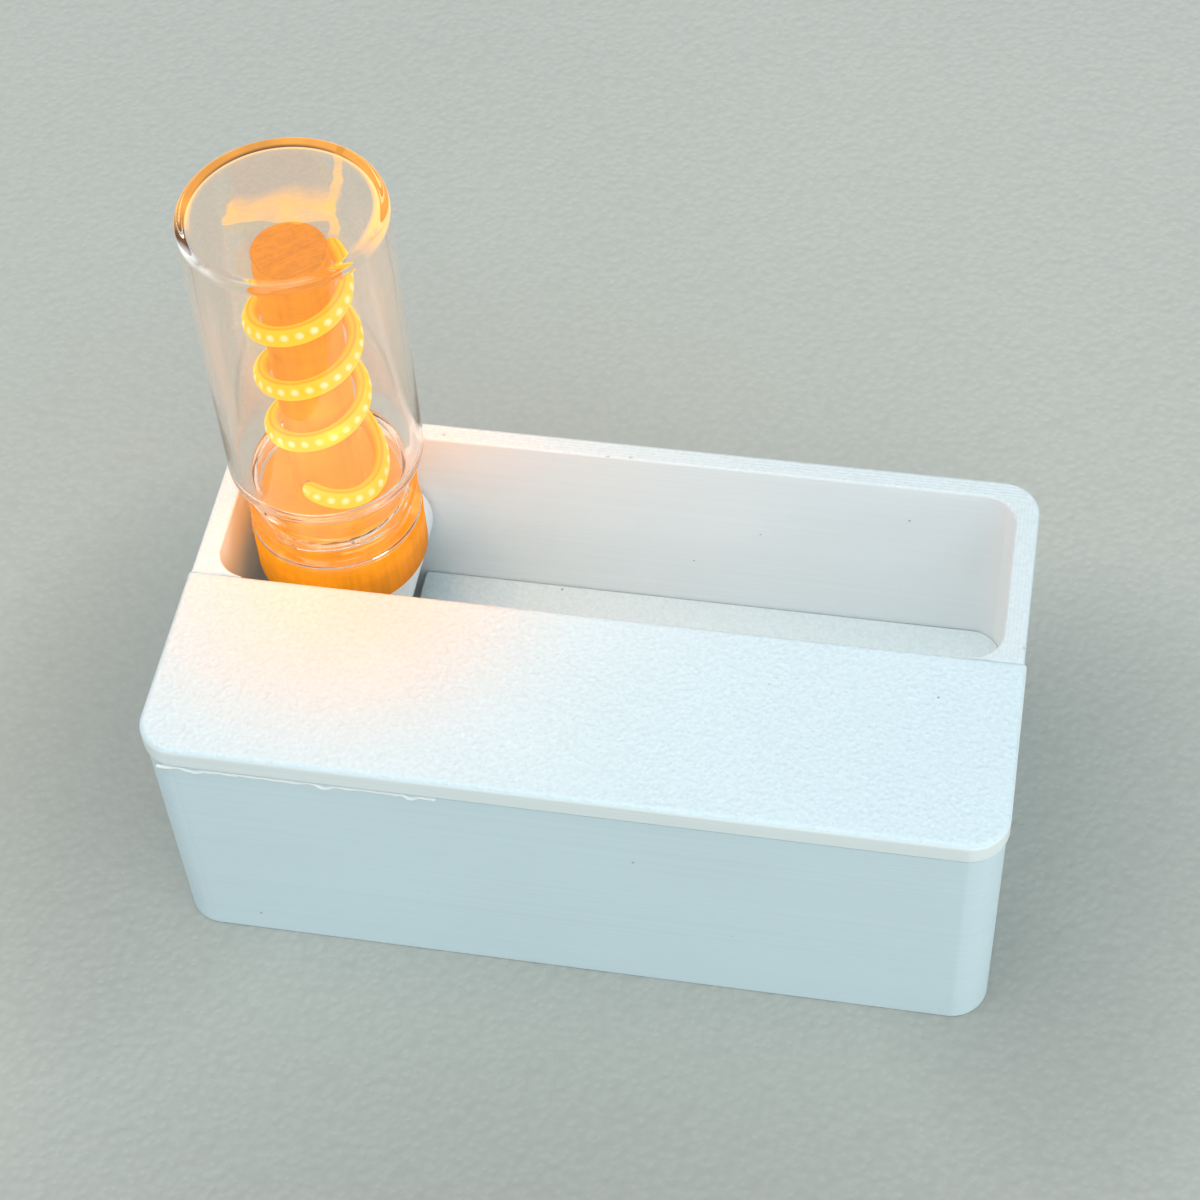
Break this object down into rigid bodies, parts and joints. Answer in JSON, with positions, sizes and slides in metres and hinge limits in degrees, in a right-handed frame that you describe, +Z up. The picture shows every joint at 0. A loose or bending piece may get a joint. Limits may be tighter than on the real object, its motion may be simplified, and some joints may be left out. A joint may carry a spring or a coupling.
{
  "type": "vial lamp",
  "caption": "Small lamp: a coiled LED filament under an upturned glass vial, which folds down into the trough of a white printed box that holds its cell and charger.",
  "frame": {"origin": "centre of the box's bottom face", "axes": "+X along the box, the way the lamp folds; +Y from the lidded front to the open trough; +Z up"},
  "size_m": [0.1, 0.053, 0.0876],
  "materials": {
    "white_print": "printed in layers",
    "lid_print": "fine grain from a textured print bed",
    "plate_print": "fine grain from a textured print bed",
    "lit_print": "translucent print, lit from within",
    "filament": "lit silicone over a row of chips",
    "glass": "clear",
    "steel": "satin",
    "nickel": "satin",
    "cell_wrap": "shrink wrap",
    "black_plastic": "satin",
    "board": "solder mask",
    "resistor": "lacquer",
    "red_wire": "insulation",
    "black_wire": "insulation",
    "cable": "insulation"
  },
  "bodies": {
    "case": {"case_body": "white_print", "case_lid": "lid_print", "trough_floor": "plate_print", "hinge_pin": "steel", "lamp_cable_fixed": "cable", "lithium_cell": "cell_wrap", "cell_cradle": "black_plastic", "cell_tab_positive": "nickel", "cell_tab_negative": "nickel", "cell_lead_positive": "red_wire", "cell_lead_negative": "black_wire", "charge_board": "board", "usb_socket": "steel", "charge_chip": "black_plastic", "series_resistor": "resistor", "board_screw_1": "steel", "board_screw_2": "steel", "switch_body": "steel", "switch_lead_1": "red_wire", "switch_lead_2": "red_wire"},
    "lamp": {"lamp_base": "white_print", "hinge_bush": "white_print", "lamp_cable_moving": "cable", "light_plug": "lit_print", "light_post": "lit_print", "led_filament": "filament", "filament_lower_tab": "nickel", "filament_upper_tab": "nickel", "lamp_lead_lower": "black_wire", "lamp_lead_upper": "black_wire"},
    "vial": {"glass_vial": "glass"},
    "switch": {"switch_lever": "black_plastic"}
  },
  "joints": [
    {"name": "lamp_fold", "type": "hinge", "parent": "case", "child": "lamp", "pos_m": [-0.03455, 0.01175, 0.024], "axis": [0, 1, 0], "range_deg": [0, 90]},
    {"name": "vial_pull", "type": "slide", "parent": "lamp", "child": "vial", "axis": [0, 0, 1], "range_m": [0, 0.0065]},
    {"name": "switch_slide", "type": "slide", "parent": "case", "child": "switch", "axis": [0, 1, 0], "range_m": [0, 0.002]}
  ]
}
